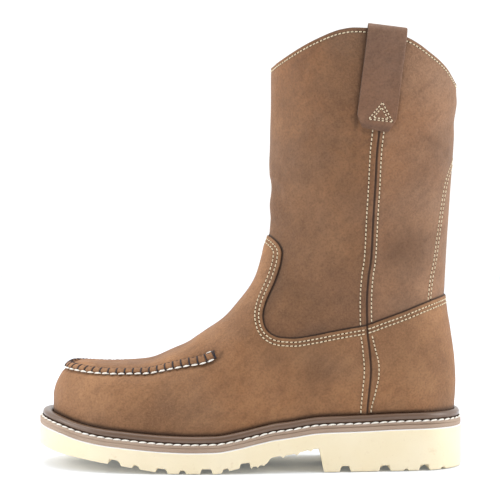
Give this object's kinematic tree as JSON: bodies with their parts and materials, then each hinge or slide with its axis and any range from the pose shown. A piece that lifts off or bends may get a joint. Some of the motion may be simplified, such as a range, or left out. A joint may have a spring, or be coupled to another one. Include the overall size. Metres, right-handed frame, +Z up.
{
  "type": "wellington work boot",
  "caption": "Left pull-on leather work boot with a gathered toe seam, scalloped collar, pull straps, storm welt and moulded lug outsole with heel.",
  "frame": {"origin": "on the ground plane under the middle of the bounding box, between toe and heel", "axes": "+Z up; -X toward the toe, +X toward the heel; -Y toward the outer side of the foot, +Y toward the inner side"},
  "size_m": [0.306, 0.1226, 0.3151],
  "materials": {
    "cream_rubber": "matt moulded cream rubber",
    "taupe_midsole": "matt taupe rubber",
    "taupe_welt": "satin taupe-brown moulded welt",
    "footbed": "dark woven cover on foam",
    "tan_leather": "oiled tan-brown leather with a soft nap",
    "brown_leather": "oiled mid-brown leather"
  },
  "bodies": {
    "root": {"outsole": "cream_rubber", "midsole": "taupe_midsole", "welt": "taupe_welt", "insole": "footbed", "upper": "tan_leather", "pull_loop_outer": "brown_leather", "pull_loop_inner": "brown_leather"}
  },
  "joints": []
}
